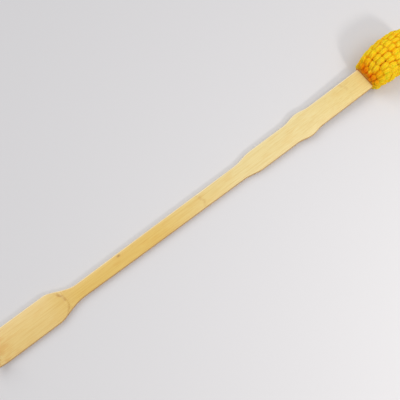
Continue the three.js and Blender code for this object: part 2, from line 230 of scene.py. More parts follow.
@dataclass(frozen=True)
class SplitBamboo:
    """Bamboo split from the culm wall, sanded flat and given a thin clear varnish.

    The varnish gives a soft satin gloss. Fibres run the whole length as fine darker streaks, and
    at each growth joint they knot into a brownish band across the strip.
    """

    mouth_x: float
    hand_x: float
    streak_width: float = 1.1 * MM
    streak_length: float = 45 * MM
    fibre_width: float = 0.28 * MM
    fibre_length: float = 14 * MM
    joint_stations: tuple[tuple[float, float], ...] = ((-339.8, 0.75), (-192.6, 0.3), (-19.6, 0.22))
    joint_half_width: float = 2.2 * MM
    joint_bow: float = 45.0  # how far the band bows back beside the middle, per metre squared
    joint_wander: float = 2.6 * MM
    joint_wander_length: float = 4.5 * MM
    eye_place: tuple[float, float] = (-282.0, 4.3)
    eye_radius: float = 1.7 * MM
    eye_stretch: float = 0.6  # below 1 draws the eye out along the strip
    mottle_size: tuple[float, float] = (16 * MM, 5 * MM)
    heart_streak_size: tuple[float, float] = (14 * MM, 3 * MM)
    heart_reach: float = 42 * MM

    hand_tone: str = "e4c880"
    shaft_tone: str = "dfbe66"
    # the grip's paler cream is painted light: the light is brighter at that end
    painted_light_grip_tone: str = "e6d498"
    neck_tone: str = "e0ca80"

    def build(self) -> bpy.types.Material:
        """Return the bamboo material."""
        material, tree, shader = new_material("split_bamboo_satin_varnish")
        place = add_node(tree, "TexCoord").outputs["Object"]
        axes = add_node(tree, "SeparateXYZ", inputs={0: place})
        streaks = self.fibres(tree, place, self.streak_length, self.streak_width, detail=4.0)
        fibres = self.fibres(tree, place, self.fibre_length, self.fibre_width, detail=2.0)

        along = add_node(
            tree,
            "MapRange",
            inputs={"Value": axes.outputs["X"], "From Min": self.hand_x, "From Max": self.mouth_x},
        )
        tone = add_node(tree, "ValToRGB", inputs={"Fac": along})
        set_stops(tone, self.tones())
        streak_tint = add_node(tree, "ValToRGB", inputs={"Fac": streaks})
        set_stops(streak_tint, [(0.3, "e9d3a6"), (0.5, "fcf7ee"), (0.72, "ffffff")])
        fibre_tint = add_node(tree, "ValToRGB", inputs={"Fac": fibres})
        set_stops(fibre_tint, [(0.34, "ecdcba"), (0.56, "ffffff")])
        mottle = self.fibres(tree, place, *self.mottle_size, detail=3.0)
        mottle_tint = add_node(tree, "ValToRGB", inputs={"Fac": mottle})
        set_stops(mottle_tint, [(0.32, "f6d9a0"), (0.5, "ffffff"), (0.7, "fff8ea")])

        colour = tone.outputs[0]
        for tint, share in ((streak_tint, 0.4), (fibre_tint, 0.4), (mottle_tint, 0.2)):
            colour = add_node(
                tree,
                "Mix",
                {"data_type": "RGBA", "blend_type": "MULTIPLY"},
                {0: share, 6: colour, 7: tint.outputs[0]},
            ).outputs[2]
        overlays = [
            *self.heart_streaks(tree, place, axes),
            *self.joints(tree, axes, mottle),
            *self.eye(tree, place),
            *self.skin_and_painted_edge_light(tree),
        ]
        # real stains, and the painted highlight and painted shade of the long edges
        for mask, overlay in overlays:
            colour = add_node(
                tree, "Mix", {"data_type": "RGBA"}, {0: mask, 6: colour, 7: linear(overlay)}
            ).outputs[2]

        rough = add_node(tree, "MapRange", inputs={"Value": fibres, "To Min": 0.52, "To Max": 0.4})
        relief = add_node(
            tree, "Bump", inputs={"Height": fibres, "Strength": 0.25, "Distance": 0.06 * MM}
        )
        surface = {
            "Base Color": colour,
            "Roughness": rough,
            "Normal": relief,
            "IOR": 1.5,
            "Coat Weight": 0.18,
            "Coat Roughness": 0.22,
        }
        set_inputs(tree, shader, surface)
        return material

    def tones(self) -> list[tuple[float, str]]:
        """Return the strip's colour along its length: straw hand, golden shaft and a paler cream grip,
        whose paleness is painted light for the brighter light at that end.
        """
        return [
            (0.15, self.hand_tone),
            (0.22, self.shaft_tone),
            (0.42, self.shaft_tone),
            (0.65, self.painted_light_grip_tone),
            (0.85, self.painted_light_grip_tone),
            (1.0, self.neck_tone),
        ]

    def fibres(
        self,
        tree: bpy.types.NodeTree,
        place: bpy.types.NodeSocket,
        length: float,
        width: float,
        detail: float,
    ) -> bpy.types.NodeSocket:
        """Noise drawn out along the strip.

        Args:
            tree: the material's node tree.
            place: Object coordinates.
            length: how far a streak runs along X.
            width: how wide a streak is across.
            detail: octaves of the noise.

        Returns:
            The noise value.
        """
        stretched = add_node(
            tree, "Mapping", inputs={"Vector": place, "Scale": (1 / length, 1 / width, 1 / width)}
        )
        noise = add_node(tree, "TexNoise", inputs={"Vector": stretched, "Scale": 1.0, "Detail": detail})
        return noise.outputs[0]

    def heart_streaks(
        self, tree: bpy.types.NodeTree, place: bpy.types.NodeSocket, axes: bpy.types.Node
    ) -> list[Overlay]:
        """Find the orange streaks of older wood that show where the hand starts to bend.

        Args:
            tree: the material's node tree.
            place: Object coordinates.
            axes: the separated Object coordinates.

        Returns:
            The streaks, as one stain.
        """
        streaks = self.fibres(tree, place, *self.heart_streak_size, detail=2.0)
        ends = {"From Min": self.hand_x + self.heart_reach, "From Max": self.hand_x}
        fade = add_node(
            tree, "MapRange", SMOOTH_STEP, {"Value": axes.outputs["X"], **ends, "To Max": 1.0}
        )
        strength = add_node(
            tree,
            "MapRange",
            inputs={"Value": streaks, "From Min": 0.48, "From Max": 0.62, "To Max": 0.6},
        )
        shown = add_node(tree, "Math", MULTIPLY, {0: fade, 1: strength})
        return [(shown, "cf9440")]

    def joints(
        self, tree: bpy.types.NodeTree, axes: bpy.types.Node, mottle: bpy.types.NodeSocket
    ) -> list[Overlay]:
        """Find the brownish band of each growth joint.

        Args:
            tree: the material's node tree.
            axes: the separated Object coordinates.
            mottle: the broad noise, which breaks the band up.

        Returns:
            One stain for each band.
        """
        wander = add_node(
            tree,
            "TexNoise",
            {"noise_dimensions": "1D"},
            {"W": axes.outputs["Y"], "Scale": 1 / self.joint_wander_length, "Detail": 2.0},
        )
        reach = self.joint_wander
        shift = add_node(tree, "MapRange", inputs={"Value": wander, "To Min": -reach, "To Max": reach})
        squared = add_node(tree, "Math", MULTIPLY, {0: axes.outputs["Y"], 1: axes.outputs["Y"]})
        bowed = add_node(
            tree, "Math", {"operation": "MULTIPLY_ADD"}, {0: squared, 1: self.joint_bow, 2: shift}
        )
        wavy_x = add_node(tree, "Math", ADD, {0: axes.outputs["X"], 1: bowed})
        speckle = add_node(
            tree,
            "MapRange",
            inputs={"Value": mottle, "From Min": 0.56, "From Max": 0.42, "To Min": 0.2, "To Max": 1.0},
        )
        overlays = []
        for station, strength in self.joint_stations:
            away = add_node(
                tree, "Math", {"operation": "SUBTRACT"}, {0: wavy_x, 1: self.mouth_x + station * MM}
            )
            distance = add_node(tree, "Math", {"operation": "ABSOLUTE"}, {0: away})
            ends = {"From Min": self.joint_half_width, "From Max": 0.0}
            band = add_node(
                tree, "MapRange", SMOOTH_STEP, {"Value": distance, **ends, "To Max": strength}
            )
            broken = add_node(tree, "Math", MULTIPLY, {0: band, 1: speckle})
            overlays.append((broken, "b5853c"))
        return overlays

    def eye(self, tree: bpy.types.NodeTree, place: bpy.types.NodeSocket) -> list[Overlay]:
        """Find the small brown eye where a twig once grew.

        Args:
            tree: the material's node tree.
            place: Object coordinates.

        Returns:
            The eye, as one stain.
        """
        station, offset = self.eye_place
        flat = add_node(tree, "VectorMath", MULTIPLY, {0: place, 1: (self.eye_stretch, 1.0, 0.0)})
        middle = (self.eye_stretch * (self.mouth_x + station * MM), offset * MM, 0.0)
        away = add_node(tree, "VectorMath", {"operation": "DISTANCE"}, {0: flat, 1: middle})
        ends = {"From Min": self.eye_radius, "From Max": 0.0}
        spot = add_node(
            tree, "MapRange", SMOOTH_STEP, {"Value": away.outputs["Value"], **ends, "To Max": 0.75}
        )
        return [(spot, "96682c")]

    def skin_and_painted_edge_light(self, tree: bpy.types.NodeTree) -> list[Overlay]:
        """Find the long edges and the underside. The +Y edge's pale cream is a painted highlight, where
        the window light catches the rounded arris. The −Y edge's brown is partly the brown skin and
        partly painted shade. The underside shows the brown skin.

        Args:
            tree: the material's node tree.

        Returns:
            One for each: the painted highlight, the skin and painted shade of the −Y edge, and the
                skin.
        """
        facing = add_node(tree, "TexCoord").outputs["Normal"]
        sides = add_node(tree, "SeparateXYZ", inputs={0: facing})
        faces = (
            # +Y edge: painted highlight; −Y edge: brown skin and painted shade; underside: brown skin
            ("Y", 0.12, 0.5, "fff0cc", 0.8),
            ("Y", -0.55, -0.95, "b8844a", 0.7),
            ("Z", 0.0, -0.7, "bd904c", 0.6),
        )
        overlays = []
        for axis, start, end, overlay, share in faces:
            face = add_node(
                tree,
                "MapRange",
                SMOOTH_STEP,
                {"Value": sides.outputs[axis], "From Min": start, "From Max": end, "To Max": share},
            )
            overlays.append((face, overlay))
        return overlays


@dataclass(frozen=True)
class ChenillePile:
    """Microfibre chenille: soft short pile twisted round a core, in a bright yellow.

    The pile scatters light and has no gloss. Its colour carries painted light: the crests are
    painted pale and bright as a highlight, and deep between the tufts, where light bounces from
    yarn to yarn and comes back orange, it is painted orange as shade.
    """

    # root: painted orange shade deep between the tufts; crest: painted highlight on the crests
    root: str = "f67200"
    middle: str = "ffac04"
    crest: str = "ffd624"
    rib_count: int = 9
    clump: float = 1.3 * MM
    fuzz: float = 0.4 * MM

    def build(self) -> bpy.types.Material:
        """Return the chenille material. It reads the piece's UV map and pile_height attribute, which
        sets the painted shade and highlight.
        """
        material, tree, shader = new_material("microfibre_chenille_pile")
        place = add_node(tree, "TexCoord")
        height = add_node(tree, "Attribute", {"attribute_name": "pile_height"})
        clumps = add_node(
            tree,
            "TexNoise",
            inputs={"Vector": place.outputs["Object"], "Scale": 1 / self.clump, "Detail": 3.0},
        )
        # The strands that the pile parts into run along each tuft. They are drawn twice as wide
        # as real ones, so that they show. They shift the painted shade and highlight, and so show as
        # painted light and shade stripes.
        ribs = add_node(
            tree,
            "TexWave",
            {"bands_direction": "X"},
            {
                "Vector": place.outputs["UV"],
                "Scale": self.rib_count * WAVE_PERIOD,
                "Distortion": 3.0,
                "Detail": 2.0,
                "Detail Scale": 2.0,
            },
        )
        strands = add_node(tree, "Math", ADD, {0: ribs.outputs["Fac"], 1: clumps})
        lifted = add_node(
            tree,
            "MapRange",
            inputs={
                "Value": strands,
                "From Min": 0.3,
                "From Max": 1.7,
                "To Min": -0.22,
                "To Max": 0.22,
            },
        )
        level = add_node(
            tree, "Math", {"operation": "ADD", "use_clamp": True}, {0: height.outputs["Fac"], 1: lifted}
        )
        # painted shade at the roots of the pile, up to a painted highlight on the crests
        ramp = add_node(tree, "ValToRGB", inputs={"Fac": level})
        set_stops(ramp, [(0.08, self.root), (0.6, self.middle), (0.98, self.crest)])

        fuzz = add_node(
            tree,
            "TexNoise",
            inputs={"Vector": place.outputs["Object"], "Scale": 1 / self.fuzz, "Detail": 3.0},
        )
        pile = add_node(tree, "Math", ADD, {0: strands, 1: fuzz})
        relief = add_node(tree, "Bump", inputs={"Height": pile, "Strength": 0.9, "Distance": 0.45 * MM})
        surface = {
            "Base Color": ramp,
            "Normal": relief,
            "Roughness": 0.9,
            "Specular IOR Level": 0.1,
            "Subsurface Weight": 0.6,
            "Subsurface Radius": (1.0, 0.5, 0.05),
            "Subsurface Scale": 2.2 * MM,
            "Sheen Weight": 0.15,
            "Sheen Roughness": 0.5,
            "Sheen Tint": linear("ffc830"),
        }
        set_inputs(tree, shader, surface)
        return material


@dataclass(frozen=True)
class KnittedCloth:
    """Warp-knitted polyester backing: small even stitches, matt. Its deep orange is painted shade:
    it shows between the tufts and stands in for the orange shade there. The ground between the
    stitches is painted darker, as shade in the knit.
    """

    # ground: painted shade, between the stitches and between the tufts
    ground: str = "c06400"
    stitch: str = "d27c08"
    stitch_spacing: float = 0.9 * MM

    def build(self) -> bpy.types.Material:
        """Return the backing-cloth material."""
        return patterned_material(
            "knitted_polyester_backing",
            ("TexVoronoi", {}, {"Scale": 1 / self.stitch_spacing}, "Distance"),
            [(0.1, self.stitch), (0.7, self.ground)],
            {"Strength": 0.6, "Distance": 0.2 * MM},
            {"Roughness": 0.92, "Sheen Weight": 0.2},
            hollow=True,
        )


@dataclass(frozen=True)
class TwistedThread:
    """Two-ply polyester sewing thread: a fine diagonal twist with a slight silky gloss. The grooves
    of the twist are painted darker, as shade.
    """

    # dark: painted shade in the grooves of the twist
    dark: str = "c98f12"
    light: str = "f0c53c"
    twist_spacing: float = 0.5 * MM

    def build(self) -> bpy.types.Material:
        """Return the thread material."""
        twist = {"Scale": WAVE_PERIOD / self.twist_spacing, "Distortion": 0.4}
        return patterned_material(
            "polyester_sewing_thread",
            ("TexWave", {"bands_direction": "DIAGONAL"}, twist, "Fac"),
            [(0.1, self.dark), (0.8, self.light)],
            {"Strength": 0.5, "Distance": 0.08 * MM},
            {"Roughness": 0.55},
        )


@dataclass(frozen=True)
class OpenCellFoam:
    """Cut polyurethane foam: open cells about 0.8 mm across, matt and slightly uneven. The pores are
    painted darker, as shade in the open cells.
    """

    cell: float = 0.8 * MM
    wall_colour: str = "f2e9cb"
    # pore_colour: painted shade inside the cells
    pore_colour: str = "cdbf94"

    def build(self) -> bpy.types.Material:
        """Return the foam material."""
        return patterned_material(
            "open_cell_foam",
            ("TexVoronoi", {}, {"Scale": 1 / self.cell}, "Distance"),
            [(0.15, self.pore_colour), (0.5, self.wall_colour)],
            {"Strength": 0.8, "Distance": 0.3 * MM},
            {"Roughness": 0.95},
        )


@dataclass(frozen=True)
class NeedleFelt:
    """Needle-punched polyester felt: short tangled fibres with no direction, fully matt."""

    fibre: float = 0.5 * MM
    light: str = "e9e2cf"
    dark: str = "cfc6ae"

    def build(self) -> bpy.types.Material:
        """Return the felt material."""
        tangle = {"Scale": 1 / self.fibre, "Detail": 5.0, "Distortion": 1.2}
        return patterned_material(
            "needle_felt",
            ("TexNoise", {}, tangle, "Fac"),
            [(0.35, self.dark), (0.65, self.light)],
            {"Strength": 0.6, "Distance": 0.2 * MM},
            {"Roughness": 0.97},
        )


# ---------------------------------------------------------------- modelling helpers
def activate(obj: bpy.types.Object) -> None:
    """Select one object alone and make it active."""
    for other in bpy.context.view_layer.objects:
        other.select_set(False)
    obj.select_set(True)
    bpy.context.view_layer.objects.active = obj


def edit(obj: bpy.types.Object, work: Callable[[], None]) -> None:
    """Run some edit-mode work on one object.

    Args:
        obj: the object to edit.
        work: called in edit mode with nothing selected.
    """
    activate(obj)
    bpy.ops.object.mode_set(mode="EDIT")
    bpy.ops.mesh.select_mode(type="VERT")
    bpy.ops.mesh.select_all(action="DESELECT")
    work()
    bpy.ops.object.mode_set(mode="OBJECT")


def select_vertices(obj: bpy.types.Object, wanted: Callable[[Vector], bool]) -> None:
    """Select, from edit mode, the vertices whose place is wanted.

    Args:
        obj: the object in edit mode.
        wanted: tells whether a vertex at a place is to be selected.
    """
    bpy.ops.mesh.select_all(action="DESELECT")
    bpy.ops.object.mode_set(mode="OBJECT")
    for vertex in obj.data.vertices:
        vertex.select = wanted(vertex.co)
    bpy.ops.object.mode_set(mode="EDIT")


def merged_copy(node: str, name: str) -> bpy.types.Object:
    """Copy a node of the frame as one welded mesh that can be worked on.

    Args:
        node: the node's name.
        name: the copy's name.

    Returns:
        The copy, which isn't yet on a body.
    """
    source = frame["nodes"][node]
    copy = bpy.data.objects.new(name, source.data.copy())
    bpy.context.scene.collection.objects.link(copy)
    copy.data.materials.clear()

    def weld() -> None:
        bpy.ops.mesh.select_all(action="SELECT")
        bpy.ops.mesh.remove_doubles(threshold=0.01 * MM)
        bpy.ops.mesh.customdata_custom_splitnormals_clear()

    edit(copy, weld)
    return copy


def apply_modifier(obj: bpy.types.Object, kind: str, settings: dict[str, object]) -> None:
    """Add one modifier to an object and apply it.

    Args:
        obj: the object.
        kind: the modifier's type.
        settings: attributes of the modifier.
    """
    modifier = obj.modifiers.new(kind.lower(), kind)
    for name, value in settings.items():
        setattr(modifier, name, value)
    activate(obj)
    bpy.ops.object.modifier_apply(modifier=modifier.name)


def smooth(obj: bpy.types.Object, degrees: float) -> None:
    """Shade an object smooth, keeping the edges sharper than an angle."""
    activate(obj)
    bpy.ops.object.shade_smooth_by_angle(angle=math.radians(degrees))


def finish_piece(
    obj: bpy.types.Object, material: bpy.types.Material, slot: Slot, *nodes: str
) -> bpy.types.Object:
    """Dress a new piece and put it on the object's body, in place of its nodes.

    Args:
        obj: the piece.
        material: its material.
        slot: the record's slot of its finish; it is not used.
        nodes: the nodes it stands for.

    Returns:
        The piece.
    """
    obj.data.materials.clear()
    obj.data.materials.append(material)
    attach(obj, ROOT)
    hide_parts(*nodes)
    log.info("%s: %d faces", obj.name, len(obj.data.polygons))
    return obj


def dress_node(node: str, material: bpy.types.Material) -> None:
    """Give a node of the frame that keeps its shape a better material."""
    mesh = frame["nodes"][node].data
    mesh.materials.clear()
    mesh.materials.append(material)
    log.info("%s keeps its shape", node)


# ---------------------------------------------------------------- bamboo strip
@dataclass
class BambooStrip:
    """The one-piece strip: hand, shaft, grip and the tang in the head."""

    mouth_x: float
    joint_swell: float = 1.09
    joint_reach: float = 2.2 * MM
    ring_reach: float = 0.05 * MM
    sharp_degrees: float = 40.0

    def build(self) -> bpy.types.Object:
        """Return the strip with a slight swelling at each growth joint."""
        strip = merged_copy("bamboo_handle", "bamboo_strip")
        low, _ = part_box("bamboo_handle")
        finish = SplitBamboo(mouth_x=self.mouth_x, hand_x=low.x)
        for station, strength in finish.joint_stations:
            self.swell(strip, self.mouth_x + station * MM, strength)
        smooth(strip, self.sharp_degrees)
        return finish_piece(strip, finish.build(), Slot.BAMBOO, "bamboo_handle")

    def swell(self, strip: bpy.types.Object, station: float, strength: float) -> None:
        """Raise a low ring round the strip at a growth joint.

        Args:
            strip: the strip.
            station: the joint's place along X.
            strength: from 0 to 1, how marked the joint is.
        """
        for offset in (-1.0, -0.5, 0.0, 0.5, 1.0):
            self.cut(strip, station + offset * self.joint_reach)
        for offset, share in ((-0.5, 0.6), (0.0, 1.0), (0.5, 0.6)):
            x = station + offset * self.joint_reach
            ring = [v.co for v in strip.data.vertices if abs(v.co.x - x) < self.ring_reach]
            lowest = min(ring, key=lambda co: co.z).copy()
            factor = 1 + (self.joint_swell - 1) * share * strength

            def raise_ring(x: float = x, lowest: Vector = lowest, factor: float = factor) -> None:
                select_vertices(strip, lambda co: abs(co.x - x) < self.ring_reach)
                bpy.ops.transform.resize(value=(1.0, 1.0, factor), center_override=lowest)

            edit(strip, raise_ring)

    def cut(self, strip: bpy.types.Object, x: float) -> None:
        """Cut a ring of edges round the strip at a place along X."""

        def bisect() -> None:
            bpy.ops.mesh.select_all(action="SELECT")
            bpy.ops.mesh.bisect(plane_co=(x, 0, 0), plane_no=(1, 0, 0))

        edit(strip, bisect)


# ---------------------------------------------------------------- head
@dataclass
class HeadForm:
    """The smooth form that the tips of the tufts lie on.

    A turn runs from 0 at the mouth, through a right angle at the middle, to pi at the tip. An
    angle runs round the head from +Y towards +Z.
    """

    mouth_x: float
    tip_x: float
    half_width: float
    top: float
    mouth_half_width: float
    mouth_half_height: float
    mouth_height: float
    widest_height: float = 17 * MM
    neck_fullness: float = 1.85
    tip_fullness: float = 3.0
    section_fullness: float = 2.25
    mouth_fullness: float = 3.6
    rows_start: float = 0.02
    rows_end: float = math.pi - 0.32
    row_line: float = 0.7  # angle at which the rows are equally long

    @classmethod
    def from_frame(cls) -> "HeadForm":
        """Measure the form on the frame's own nodes."""
        hem_low, hem_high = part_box("neck_hem")
        _, tip_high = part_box("tip_tuft")
        wide_low, wide_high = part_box("tuft_row_05")
        mouth_low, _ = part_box("tuft_row_01")
        return cls(
            mouth_x=mouth_low.x,
            tip_x=tip_high.x,
            half_width=(wide_high.y - wide_low.y) / 2,
            top=wide_high.z,
            mouth_half_width=(hem_high.y - hem_low.y) / 2,
            mouth_half_height=(hem_high.z - hem_low.z) / 2,
            mouth_height=(hem_high.z + hem_low.z) / 2,
        )

    def point(self, turn: float, angle: float) -> Vector:
        """Return the point of the form at a turn and an angle."""
        middle = (self.mouth_x + self.tip_x) / 2
        neck = turn < math.pi / 2
        sign = -1 if neck else 1
        roundness = 2 / (self.neck_fullness if neck else self.tip_fullness)
        along = abs(math.cos(turn)) ** roundness
        swell = max(math.sin(turn), 0.0) ** roundness
        start_width = self.mouth_half_width if neck else 0.0
        start_height = self.mouth_half_height if neck else 0.0
        start_level = self.mouth_height if neck else self.widest_height
        power = self.section_fullness
        if neck:
            power = self.mouth_fullness + (power - self.mouth_fullness) * swell**3
        width = start_width + (self.half_width - start_width) * swell
        reach_up = start_height + (self.top - self.widest_height - start_height) * swell
        reach_down = start_height + (self.widest_height - start_height) * swell
        level = start_level + (self.widest_height - start_level) * swell
        across, up = math.cos(angle), math.sin(angle)
        reach = (abs(across) ** power + abs(up) ** power) ** (-1 / power)
        rise = reach * up * (reach_up if up > 0 else reach_down)
        x = middle + sign * (self.tip_x - middle) * along
        return Vector((x, reach * across * width, level + rise))

    def axes(self, turn: float, angle: float) -> tuple[Vector, Vector, Vector]:
        """Find the directions at a point of the form.

        Args:
            turn: place from the mouth to the tip.
            angle: place round the head.

        Returns:
            Unit vectors along the head, across it and outwards.
        """
        step = 0.01
        along = self.point(turn + step, angle) - self.point(turn - step, angle)
        across = self.point(turn, angle + step) - self.point(turn, angle - step)
        along.normalize()
        out = across.cross(along).normalized()
        if out.dot(self.point(turn, angle) - self.centre()) < 0:
            out.negate()
        return along, out.cross(along).normalized(), out

    def centre(self) -> Vector:
        """Return the middle of the head."""
        return Vector(((self.mouth_x + self.tip_x) / 2, 0.0, self.widest_height))

    def girth(self, turn: float) -> float:
        """Return the distance round the form at a turn."""
        return self.ring_lengths(turn)[-1]

    def ring_lengths(self, turn: float) -> list[float]:
        """Add up the distance round the form at a turn, from angle 0 on, in even steps of angle."""
        ring = [self.point(turn, math.tau * i / RING_STEPS) for i in range(RING_STEPS + 1)]
        lengths = [0.0]
        for a, b in zip(ring, ring[1:]):
            lengths.append(lengths[-1] + (b - a).length)
        return lengths

    def angle_at(self, turn: float, share: float) -> float:
        """Find the angle at a share of the distance round the form.

        Args:
            turn: place from the mouth to the tip.
            share: share of the way round, where 1 is the whole way.

        Returns:
            The angle.
        """
        lengths = self.ring_lengths(turn)
        target = (share % 1.0) * lengths[-1]
        i = next(i for i, length in enumerate(lengths) if length > target)
        part = (target - lengths[i - 1]) / (lengths[i] - lengths[i - 1])
        return math.tau * (i - 1 + part) / RING_STEPS

    def even_turns(self, count: int) -> list[float]:
        """Divide the side of the head into stretches of equal length.

        Args:
            count: how many stretches there are.

        Returns:
            The turns where the stretches start, and where the last one ends.
        """
        span = self.rows_end - self.rows_start
        samples = [self.rows_start + span * i / ROW_SAMPLES for i in range(ROW_SAMPLES + 1)]
        line = [self.point(turn, self.row_line) for turn in samples]
        lengths = [0.0]
        for a, b in zip(line, line[1:]):
            lengths.append(lengths[-1] + (b - a).length)
        targets = [lengths[-1] * i / count for i in range(count + 1)]
        return [samples[next(i for i, s in enumerate(lengths) if s >= t - TINY)] for t in targets]


@dataclass
class TuftShape:
    """One rice-grain tuft of chenille, lying along local X with its outer side up local Z."""

    length: float = 10.2 * MM
    width: float = 6.1 * MM
    height: float = 5.6 * MM
    segments: int = 14
    rings: int = 9
    lump: float = 0.16 * MM
    belly: tuple[float, float] = (0.1, 0.47)  # shares of the length where the yarn swells
    belly_swell: tuple[float, float] = (1.1, 1.08)
    foot: float = -0.3  # share of the length, from the middle, where the narrow foot starts
    foot_share: float = 0.86

    def build(self, seed: int) -> bpy.types.Object:
        """Model one tuft.

        Args:
            seed: makes each variant's lumps its own.

        Returns:
            The tuft, at the origin.
        """
        bpy.ops.object.select_all(action="DESELECT")
        bpy.ops.mesh.primitive_uv_sphere_add(
            segments=self.segments, ring_count=self.rings, radius=0.5
        )
        tuft = bpy.context.active_object
        tuft.name = f"tuft_pattern_{seed}"

        origin = (0, 0, 0)

        def shape() -> None:
            bpy.ops.mesh.select_all(action="SELECT")
            bpy.ops.transform.rotate(value=math.pi / 2, orient_axis="Y", center_override=origin)
            select_vertices(tuft, lambda co: self.belly[0] < abs(co.x) < self.belly[1])
            bpy.ops.transform.resize(value=(1.0, *self.belly_swell), center_override=origin)
            select_vertices(tuft, lambda co: co.x < self.foot)
            narrowed = (1.0, self.foot_share, self.foot_share)
            bpy.ops.transform.resize(value=narrowed, center_override=origin)
            bpy.ops.mesh.select_all(action="SELECT")
            size = (self.length, self.width, self.height)
            bpy.ops.transform.resize(value=size, center_override=origin)
            bpy.ops.transform.vertex_random(offset=self.lump, seed=seed)

        edit(tuft, shape)
        for polygon in tuft.data.polygons:
            polygon.use_smooth = True
        return tuft


@dataclass
class TuftedCover:
    """The rows of chenille tufts that cover the head."""

    form: HeadForm
    rows: int = 9
    spacing: float = 5.4 * MM
    sink: float = 3.0 * MM
    # depth over which the pile's painted shade deepens
    pile_depth: float = 4.6 * MM
    tip_lift: float = 9.0
    overlap: float = 1.26
    shortest: float = 0.55
    longest: float = 1.12
    fewest: int = 5
    share_jitter: float = 0.09
    turn_jitter: float = 0.08
    swing_jitter: float = 11.0
    lift_jitter: float = 5.0
    length_jitter: float = 0.06
    width_jitter: float = 0.05
    depth_jitter: float = 0.3 * MM
    floor_gap: float = 0.1 * MM
    neck_turn: float = 0.03
    neck_spacing: float = 4.9 * MM
    neck_length: float = 6.6 * MM
    neck_lean: float = 30.0
    neck_raise: float = 0.5 * MM
    neck_side_shift: float = 3.8 * MM
    neck_tuck: float = 1.1 * MM
    neck_side_lean: float = 0.45  # share of the lean that the side tufts have
    neck_heights: tuple[float, float] = (0.5, 0.8)  # shares of the height, at the sides and on top
    neck_share_jitter: float = 0.1
    neck_lean_jitter: float = 6.0
    neck_reach_jitter: tuple[float, float] = (-0.3 * MM, 0.5 * MM)
    tip_count: int = 6
    tip_depth: float = 0.35  # share of the way from the last row to the tip
    tip_phase: float = 0.25
    tip_size: tuple[float, float] = (0.8, 0.95)
    cap_turn: float = math.pi - 0.03
    cap_angle: float = 0.4
    cap_size: tuple[float, float] = (0.6, 1.0)
    variants: int = 4
    seed: int = 20
    shape: TuftShape = field(default_factory=TuftShape)

    def build(self) -> list[bpy.types.Object]:
        """Return one piece for each row of tufts, and one for the tip."""
        patterns = [self.shape.build(seed) for seed in range(self.variants)]
        chooser = random.Random(self.seed)
        material = ChenillePile().build()
        turns = self.form.even_turns(2 * self.rows)
        pieces = []
        for row in range(self.rows):
            start, middle, end = turns[2 * row : 2 * row + 3]
            places = self.row_places(start, middle, end, row, chooser)
            if row == 0:
                places += self.neck_places(chooser)
            node = f"tuft_row_{row + 1:02d}"
            pieces.append(self.joined(node, places, patterns, material, chooser))
        tip_places = self.tip_places(turns[-1], chooser)
        pieces.append(self.joined("tip_tuft", tip_places, patterns, material, chooser))
        for pattern in patterns:
            bpy.data.objects.remove(pattern)
        return pieces

    def row_places(
        self, start: float, middle: float, end: float, row: int, chooser: random.Random
    ) -> list[Matrix]:
        """Find where the tufts of one row stand.

        Args:
            start: the turn where the row starts.
            middle: the turn half-way along it.
            end: the turn where it ends.
            row: the row's index, which staggers every other row.
            chooser: source of the small irregularities.

        Returns:
            One placing matrix for each tuft.
        """
        count = max(self.fewest, round(self.form.girth(middle) / self.spacing))
        places = []
        for i in range(count):
            stagger = 0.5 + 0.5 * (row % 2)
            share = (i + stagger + self.jitter(self.share_jitter, chooser)) / count
            angle = self.form.angle_at(middle, share)
            arc = (self.form.point(end, angle) - self.form.point(start, angle)).length
            stretch = arc * self.overlap / self.shape.length
            stretch = min(max(stretch, self.shortest), self.longest)
            widen = self.form.girth(middle) / count / self.spacing
            turn = middle + (end - start) * self.jitter(self.turn_jitter, chooser)
            places.append(self.placing(turn, angle, stretch, widen, chooser))
        return places

    def neck_places(self, chooser: random.Random) -> list[Matrix]:
        """Find where the short tufts stand that hang over the hem at the neck.

        Args:
            chooser: source of the small irregularities.

        Returns:
            One placing matrix for each tuft.
        """
        turn = self.neck_turn
        count = round(self.form.girth(turn) / self.neck_spacing)
        places = []
        for i in range(count):
            share = (i + self.jitter(self.neck_share_jitter, chooser)) / count
            angle = self.form.angle_at(turn, share)
            spot = self.form.point(turn, angle)
            _, across, _ = self.form.axes(turn, angle)
            outwards = Vector((1, 0, 0)).cross(across).normalized()
            if outwards.dot(spot - Vector((spot.x, 0, self.form.mouth_height))) < 0:
                outwards.negate()
            faces_up = abs(outwards.z)
            lean = self.neck_lean * (self.neck_side_lean + (1 - self.neck_side_lean) * faces_up)
            lean = math.radians(lean + self.jitter(self.neck_lean_jitter, chooser))
            along = Vector((math.cos(lean), 0, 0)) + outwards * math.sin(lean)
            out = along.cross(across).normalized()
            if out.dot(outwards) < 0:
                out.negate()
            basis = Matrix((along, out.cross(along), out)).transposed().to_4x4()
            reach = self.neck_length / 2 + chooser.uniform(*self.neck_reach_jitter)
            forward = Vector((self.neck_side_shift * (1 - faces_up), 0.0, 0.0))
            rise = self.neck_raise - self.neck_tuck * (1 - faces_up)
            centre = spot + outwards * rise + along * reach + forward
            length = self.neck_length / self.shape.length
            width = self.neck_spacing / self.shape.width
            at_side, on_top = self.neck_heights
            height = at_side + (on_top - at_side) * faces_up
            size = Matrix.Diagonal((length, width, height, 1.0))
            places.append(Matrix.Translation(centre) @ basis @ size)
        return places

    def tip_places(self, start: float, chooser: random.Random) -> list[Matrix]:
        """Find where the tufts that close the tip stand.

        Args:
            start: the turn where the last row ends.
            chooser: source of the small irregularities.

        Returns:
            One placing matrix for each tuft.
        """
        turn = start + (math.pi - start) * self.tip_depth
        angles = [math.tau * (i + self.tip_phase) / self.tip_count for i in range(self.tip_count)]
        places = [self.placing(turn, angle, *self.tip_size, chooser) for angle in angles]
        places.append(self.placing(self.cap_turn, self.cap_angle, *self.cap_size, chooser))
        return places

